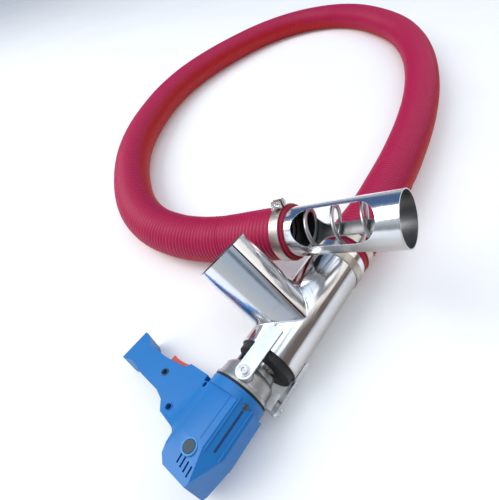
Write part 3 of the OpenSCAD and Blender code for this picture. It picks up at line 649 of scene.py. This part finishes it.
def hose_skin(pitch, depth):
    """The hose's ribs and its bore: a ring of radius r carried along the route, out and back inside.

    r = HOSE_TOP - depth * (1 - w), where w = (0.5 + 0.5 * cos) ** 0.6 of the place along the rib's pitch.
    """
    rows = ROWS_PER_RIB * int(by_length(HOSE_CURVE, 2)[1] / pitch) + 1
    fine, _ = by_length(HOSE_CURVE, rows)
    side, up = across(fine)
    a = np.linspace(0, 2 * math.pi, HOSE_SIDES, endpoint=False)[None, :]
    crest = 0.5 + 0.5 * np.cos(2 * math.pi * np.arange(rows) / ROWS_PER_RIB)
    wave = crest[:, None] ** 0.6 * np.ones_like(a)
    r = HOSE_TOP - depth * (1 - wave)
    out = np.cos(a)[..., None] * side[:, None] + np.sin(a)[..., None] * up[:, None]
    outer = fine[:, None] + r[..., None] * out
    back = np.r_[np.arange(rows - 1, 0, -BORE_STEP), 0]
    inner = fine[back, None] + HOSE_BORE * out[back]
    obj = mesh_of("hose_ribbed", [(np.concatenate([outer, inner]), True, True, False)])
    # Painted shade: how far the skin turns away from the light direction.
    lee = 0.5 - 0.5 * (out @ PAINTED_LIGHT_FROM)
    # Painted shade: rib is 1 on the crests, lower in the grooves and 0 over the whole bore; the hose's finish
    # darkens where it is low.
    keep_numbers(obj, "rib", np.concatenate([wave, np.zeros((len(inner), HOSE_SIDES))]))
    # Painted shade: the bore takes the full shaded colour.
    keep_numbers(obj, "lee", np.concatenate([lee, np.ones((len(inner), HOSE_SIDES))]))
    obj.data.set_sharp_from_angle(angle=math.radians(70))
    return obj


# ---- Operators ----

# Each lamp: its name, which is also the setting that holds its power, its place, aim, width and tint.
LAMPS = (
    ("key", (-1.3, 1.9, 2.6), (0.3, 0.1, 0), 2.4, (1.0, 0.99, 0.97)),
    ("fill", (2.4, -1.6, 2.2), (0.3, 0.1, 0), 2.6, (1.0, 0.95, 0.88)),
    ("top", (0.4, 0.2, 3.2), (0.4, 0.2, 0), 3.0, (0.94, 0.97, 1.0)),
)

# Each patch that the steel mirrors: its direction, the facing where it starts and is full, share and colour.
PATCHES = (
    ((0.42, 0.80, 0.43), 0.80, 0.93, 0.92, (0.06, 0.17, 0.41)),
    ((0.48, -0.86, 0.17), 0.80, 0.93, 0.92, (0.20, 0.135, 0.10)),
    ((0.80, -0.45, 0.40), 0.955, 0.985, 0.9, (0.03, 0.04, 0.07)),
    ((-0.96, 0.27, 0.0), 0.93, 0.99, 0.7, (0.22, 0.23, 0.25)),
    ((-0.05, -0.74, 0.67), 0.985, 0.994, 0.8, (0.10, 0.13, 0.18)),
)
LOW_SKY, HIGH_SKY, BACKDROP = (0.92, 0.94, 0.97), (0.58, 0.72, 0.92), (0.93, 0.94, 0.95)


class StageOperator(bpy.types.Operator):
    """Lays a pale floor and sets the soft lights and the camera"""
    bl_idname = "auger.stage"
    bl_label = "Stage"

    def execute(self, context):
        size = context.scene.auger_stage
        context.scene.view_settings.view_transform = "Standard"
        data = bpy.data.cameras.new("camera")
        camera = add_object("camera", data)
        data.sensor_width, data.lens = 36.0, size.lens
        data.clip_start, data.clip_end = 0.01, 60
        right, down = Vector((0.5897, -0.7891, -0.172)), Vector((-0.6514, -0.3388, -0.6789))
        ahead = Vector((0.4774, 0.5124, -0.7138))
        camera.matrix_world = Matrix((right, -down, -ahead)).transposed().to_4x4()
        camera.location = (-0.1679, -0.2179, 0.4353)
        context.scene.camera = camera
        u, v = np.meshgrid(np.linspace(-14, 14, 15), np.linspace(-14, 14, 15), indexing="ij")
        floor = mesh_of("floor", [(np.stack([u + 0.5, v, 0 * u - 0.0002], -1), False, False, False)])
        floor.data.materials.append(pale_floor())
        for name, place, aim, span, tint in LAMPS:
            light = bpy.data.lights.new(name, "AREA")
            light.shape, light.size, light.energy, light.color = "SQUARE", span, getattr(size, name), tint
            lamp = add_object(name, light)
            lamp.location = place
            lamp.rotation_euler = (Vector(aim) - Vector(place)).to_track_quat("-Z", "Y").to_euler()
        self.surround(context.scene, size.surround)
        return {"FINISHED"}

    def surround(self, scene, strength):
        """Pale all round with patches for the steel to mirror, and a plain backdrop for the camera."""
        world = bpy.data.worlds.new("surround")
        scene.world = world
        world.use_nodes = True
        f = Nodes(world.node_tree)
        background = f.tree.nodes["Background"]
        towards = f.node("ShaderNodeTexCoord")

        def facing(*direction):
            return f.node("ShaderNodeVectorMath", {"operation": "DOT_PRODUCT"}, out=1,
                          s0=towards, s1=direction)

        sky = f.mix(f.band(facing(0.0, 0.0, 1.0), 0.1, 0.9), LOW_SKY, HIGH_SKY)
        for direction, low, high, share, colour in PATCHES:
            sky = f.mix(f.band(facing(*direction), low, high) * share, sky, colour)
        seen_directly = f.node("ShaderNodeLightPath")
        sky = f.mix(seen_directly, sky, BACKDROP)
        f.tree.links.new(sky.socket, background.inputs["Color"])
        background.inputs["Strength"].default_value = strength


class HoseOperator(bpy.types.Operator):
    """Lays the ribbed hose along its route"""
    bl_idname = "auger.hose"
    bl_label = "Hose"

    def execute(self, context):
        size = context.scene.auger_sizes
        hose = hose_skin(size.rib_pitch, size.rib_depth)
        stand_for(hose, "hose")
        bpy.ops.auger.pickup()
        bpy.ops.auger.clamps()
        return {"FINISHED"}


class PickupOperator(bpy.types.Operator):
    """Makes the windowed pickup tube and the spiral in it"""
    bl_idname = "auger.pickup"
    bl_label = "Pickup tube"

    def execute(self, context):
        start = RIBBON_START - PICKUP_TAIL
        length = WINDOW_TO - start
        stand_for(rounded(pickup_skin(), 0.0003, 2), "pickup_tube")
        spiral = ribbon("pickup_ribbon", CROSSING + start * PICKUP_AXIS, PICKUP_AXIS, PICKUP_X, PICKUP_Y,
                        length, length / PITCH, math.radians(40))
        stand_for(spiral, "pickup_spiral")
        return {"FINISHED"}


class ClampsOperator(bpy.types.Operator):
    """Makes the clamps and their bolts"""
    bl_idname = "auger.clamps"
    bl_label = "Clamps"

    def execute(self, context):
        edge = 0.0004
        for node, name in (
                ("pickup_clamp", "clamp_on_pickup"), ("adapter_clamp", "clamp_on_adapter"),
                ("band_clamp", "clamp_on_tube"), ("pickup_clamp_bolt", "bolt_on_pickup"),
                ("adapter_clamp_bolt", "bolt_on_adapter"), ("band_bolt", "bolt_on_band")):
            stand_for(copy_of(node, name, edge, 2), node)
        add_to(tee_bolt("tee_bolt_on_pickup"), "fastener_steel", "frame")
        return {"FINISHED"}


class SteelOperator(bpy.types.Operator):
    """Makes the polished housing, its weld, the adapter and the spiral in them"""
    bl_idname = "auger.steel"
    bl_label = "Steel housing"

    def execute(self, context):
        size = context.scene.auger_sizes
        stand_for(rounded(y_tubes(), size.tube_edge, 2), "y_housing")
        add_to(weld_bead(size.weld), "polished_steel", "frame")
        stand_for(copy_of("hose_adapter", "adapter_turned", 0.0006), "hose_adapter")
        stand_for(ribbon("feed_ribbon", RIM + FEED_START * X, X, Y, Z, FEED_LEN, FEED_TURNS), "feed_spiral")
        return {"FINISHED"}


class BracketOperator(bpy.types.Operator):
    """Makes the arms that hold the drill to the housing, their bolts and the plug"""
    bl_idname = "auger.bracket"
    bl_label = "Bracket"

    def execute(self, context):
        for node, name, width in (
                ("bracket_arms", "arms_flat", 0.0007), ("arm_washers", "washers_flat", 0.0003),
                ("arm_bolts", "bolts_turned", 0.0005), ("seal_plug", "plug_moulded", 0.0012)):
            stand_for(copy_of(node, name, width), node)
        return {"FINISHED"}


def in_drill(x, y, z):
    """A place in the drill's own axes, given in millimetres: along its body, along its handle, and out."""
    return RIM + (x * X + y * DRILL_Y + z * DRILL_Z) / 1000


def collar(name, place, out, inner, outer, height):
    """A ring with a rounded top standing on a face: a half oval turned about the ring's axis."""
    sunk = 0.001
    middle, half = (inner + outer) / 2, (outer - inner) / 2
    profile = [(height * math.sin(a) ** 0.6, middle + half * math.cos(a)) for a in np.linspace(0, math.pi, 9)]
    profile += [(-sunk, inner), (-sunk, outer)]
    return tidy(lathed(name, place, out, X, np.cross(X, out), profile, 64), 50, outwards=True)


def raised_line(name, start, end, up, width, height):
    """A long low bead on a face: a squared-off oval carried from start to end, and narrowed at both."""
    t = np.r_[0, 0.003, 0.012, np.linspace(0.03, 0.97, 5), 0.988, 0.997, 1][:, None]
    swell = np.r_[0, 0.6, 0.92, np.ones(5), 0.92, 0.6, 0][:, None]
    k = np.linspace(0, 2 * math.pi, 16, endpoint=False)[None, :]
    along = (end - start) / np.linalg.norm(end - start)
    side = np.cross(up, along)
    soft = [np.sign(g(k)) * np.abs(g(k)) ** 0.5 for g in (np.cos, np.sin)]
    skin = (start + t * (end - start))[:, None] + (swell * soft[0])[..., None] * side * width / 2 \
        + (swell * soft[1])[..., None] * up * height
    return tidy(mesh_of(name, [(skin, False, True, False)]), 60, outwards=True)


def tee_bolt(name):
    """The clamp's tee bolt: two cross barrels on the strap's ends, a threaded rod through them and its nut.

    The rod's radius is core + depth * |cos| of the place along it, and the nut is a six-sided turning.
    """
    turn, station, reach = math.radians(170), HOSE_LIP - 0.0105, 0.0435
    out = math.cos(turn) * PICKUP_X + math.sin(turn) * PICKUP_Y
    across_strap = math.cos(turn) * PICKUP_Y - math.sin(turn) * PICKUP_X
    middle = CROSSING + station * PICKUP_AXIS + reach * out
    apart, half, flat, barrel_r, face_r, tip = 0.0065, 0.0075, 0.007, 0.0027, 0.0022, 0.0001
    core, depth, per_metre, rod_tip, nut_r = 0.0015, 0.0003, 2600, 0.00005, 0.0034
    round_about = np.linspace(0, 2 * math.pi, 24, endpoint=False)[None, :]
    grids = []

    def turned(origin, axis, side, along, radius, angle):
        grids.append((round_a_line(origin, axis, out, side, along, radius, angle), True, True, False))

    for place in (-apart, apart):
        along = np.array([-half, -half, -flat, flat, half, half])[:, None]
        radius = np.array([tip, face_r, barrel_r, barrel_r, face_r, tip])[:, None]
        turned(middle + place * across_strap, PICKUP_AXIS, across_strap, along, radius, round_about)
    along = np.linspace(-0.013, 0.016, 140)[:, None]
    thread = core + depth * np.abs(np.cos(along * per_metre))
    thread[[0, -1]] = rod_tip
    turned(middle, across_strap, PICKUP_AXIS, along, thread, round_about)
    for low, high in ((0.0092, 0.0128), (-0.0135, -0.0105)):
        along = np.array([low, low, high, high])[:, None]
        radius = np.array([tip, nut_r, nut_r, tip])[:, None]
        turned(middle, across_strap, PICKUP_AXIS, along, radius, round_about[:, ::4])
    return tidy(mesh_of(name, grids), 35, outwards=True)


class DrillOperator(bpy.types.Operator):
    """Makes the drill's shells, gear case, ring, screws, caps and buttons"""
    bl_idname = "auger.drill"
    bl_label = "Drill"

    def execute(self, context):
        size = context.scene.auger_sizes
        for node, name, width, segments in (
                ("gear_case", "case_cast", 0.0009, 3), ("case_gasket", "gasket_cut", 0.0004, 2),
                ("front_ring", "ring_moulded", 0.0014, 3),
                ("housing_left", "shell_left", size.shell_edge, 4),
                ("housing_right", "shell_right", size.shell_edge, 4),
                ("brush_caps", "caps_moulded", 0.0008, 3), ("housing_screws", "screws_black", 0.0003, 2),
                ("trigger", "trigger_moulded", 0.0013, 4),
                ("lock_button", "lock_moulded", 0.0005, 3), ("cord_bush", "bush_moulded", 0.0008, 3)):
            stand_for(copy_of(node, name, width, segments), node)
        bpy.ops.auger.drill_details()
        return {"FINISHED"}


# Each bead on a shell: its name, start and end as in_drill takes them, whether it lies on the bevel
# between side and handle, its width and height, and the finish that it has in place of its slot's.
BEADS = (
    ("seam", (-112, -4.5, 30), (-58, -4.5, 30), False, 0.0011, 0.0005, None),
    ("edge", (-118, -14.6, 27.8), (-57, -14.6, 27.8), True, 0.0022, 0.0009, None),
    # Painted shadow: a nearly flat dark blue strip that stands for the shade in a groove along the bevel.
    ("groove", (-113, -21.2, 21.2), (-66, -21.2, 21.2), True, 0.0030, 0.0002, "shadow_blue"),
    ("waist", (-117, -27.4, 15.0), (-60, -27.4, 15.0), True, 0.0022, 0.0010, None),
)


class DrillDetailsOperator(bpy.types.Operator):
    """Adds the collars round the caps and screws and the beads along the shells, one of them a painted groove
    shadow
    """
    bl_idname = "auger.drill_details"
    bl_label = "Drill details"

    def execute(self, context):
        for side, flip in (("left", 1), ("right", -1)):
            out = flip * DRILL_Z
            add_to(collar("cap_collar_" + side, in_drill(-123, 0, flip * 29.2), out, 0.0068, 0.0088, 0.0016),
                   "blue_plastic", "frame", "cap_rim")
            slope = (flip * DRILL_Z - DRILL_Y) / math.sqrt(2)
            for name, start, end, bevelled, width, height, finish in BEADS:
                places = [in_drill(x, y, flip * z) for x, y, z in (start, end)]
                bead = raised_line("%s_bead_%s" % (name, side), *places, slope if bevelled else out,
                                   width, height)
                add_to(bead, "blue_plastic", "frame", finish)
            add_to(collar("bevel_screw_" + side, in_drill(-62, -21.2, flip * 21.2), slope,
                          0.0012, 0.0034, 0.0012), "screw_black", "frame")
        for k, (x, y, z) in enumerate(((-80, 98, 17), (-107, 60, 17))):
            for side, flip in (("left", 1), ("right", -1)):
                add_to(collar("screw_collar_%d_%s" % (k, side), in_drill(x, y, flip * z), flip * DRILL_Z,
                              0.0035, 0.0049, 0.0011), "screw_black" if k == 0 else "blue_plastic", "frame")
        return {"FINISHED"}


class InsideOperator(bpy.types.Operator):
    """Gives every part that stays as the CAD made it its finish"""
    bl_idname = "auger.inside"
    bl_label = "Working parts"

    def execute(self, context):
        for node, obj in NODES.items():
            finished(obj, SLOT_OF[node])
        return {"FINISHED"}


# ---- Settings, panel and registration ----

def length_setting(name, text, default):
    return FloatProperty(name=name, description=text, default=default, min=0.0,
                         subtype="DISTANCE", unit="LENGTH", precision=5)


def colour_setting(name, text, default):
    return FloatVectorProperty(name=name, description=text, default=default, subtype="COLOR", size=3,
                               min=0.0, max=1.0)


def power_setting(name, text, default):
    return FloatProperty(name=name, description=text, default=default, min=0.0, unit="POWER")


class AugerSizes(bpy.types.PropertyGroup):
    rib_pitch: length_setting("Rib pitch", "Distance from one rib of the hose to the next", 0.0064)
    rib_depth: length_setting("Rib depth", "Height of the hose's ribs", 0.0014)
    tube_edge: length_setting("Tube edge", "Rounding of the steel tubes' cut edges", 0.0003)
    shell_edge: length_setting("Shell edge", "Rounding of the drill's plastic shells", 0.0020)
    weld: length_setting("Weld", "Half width of the weld along the spout's foot", 0.0008)


class AugerLook(bpy.types.PropertyGroup):
    steel: colour_setting("Steel", "Colour of the polished steel", (0.80, 0.82, 0.85))
    hose_painted_lit: colour_setting("Hose, lit side", "Colour of the hose in the light", (0.40, 0.004, 0.060))
    hose_painted_shade: colour_setting("Hose, shaded side", "Colour of the hose in shade", (0.44, 0.004, 0.006))
    blue: colour_setting("Shell", "Colour of the drill's shells", (0.004, 0.170, 0.50))
    trigger: colour_setting("Trigger", "Colour of the trigger", (0.72, 0.10, 0.07))
    cap: colour_setting("Caps", "Colour of the brush caps", (0.030, 0.055, 0.085))


class AugerStage(bpy.types.PropertyGroup):
    lens: FloatProperty(name="Lens", description="Focal length in millimetres", default=25.25, min=10.0)
    key: power_setting("Key", "Power of the main light", 86.0)
    fill: power_setting("Fill", "Power of the light opposite", 22.0)
    top: power_setting("Top", "Power of the light overhead", 30.0)
    surround: FloatProperty(name="Surround", description="Strength of the light from all round",
                            default=0.62, min=0.0)


class AugerPanel(bpy.types.Panel):
    """Lists the auger's settings and the buttons that build it"""
    bl_idname = "VIEW3D_PT_auger"
    bl_label = "Grain Auger"
    bl_space_type = "VIEW_3D"
    bl_region_type = "UI"
    bl_category = "Grain Auger"

    def draw(self, context):
        for group in (context.scene.auger_sizes, context.scene.auger_look, context.scene.auger_stage):
            box = self.layout.box()
            for setting in group.__annotations__:
                box.prop(group, setting)
        for operator in OPERATORS:
            self.layout.operator(operator.bl_idname)


OPERATORS = (StageOperator, HoseOperator, PickupOperator, ClampsOperator, SteelOperator, BracketOperator,
             DrillOperator, DrillDetailsOperator, InsideOperator)
GROUPS = {"auger_sizes": AugerSizes, "auger_look": AugerLook, "auger_stage": AugerStage}


def register():
    for part in (*GROUPS.values(), *OPERATORS, AugerPanel):
        bpy.utils.register_class(part)
    for name, group in GROUPS.items():
        setattr(bpy.types.Scene, name, PointerProperty(type=group))


def unregister():
    for name in GROUPS:
        delattr(bpy.types.Scene, name)
    for part in reversed((*GROUPS.values(), *OPERATORS, AugerPanel)):
        bpy.utils.unregister_class(part)


def main():
    register()
    bpy.ops.auger.stage()
    bpy.ops.auger.hose()
    bpy.ops.auger.steel()
    bpy.ops.auger.bracket()
    bpy.ops.auger.drill()
    bpy.ops.auger.inside()


if __name__ == "__main__":
    main()
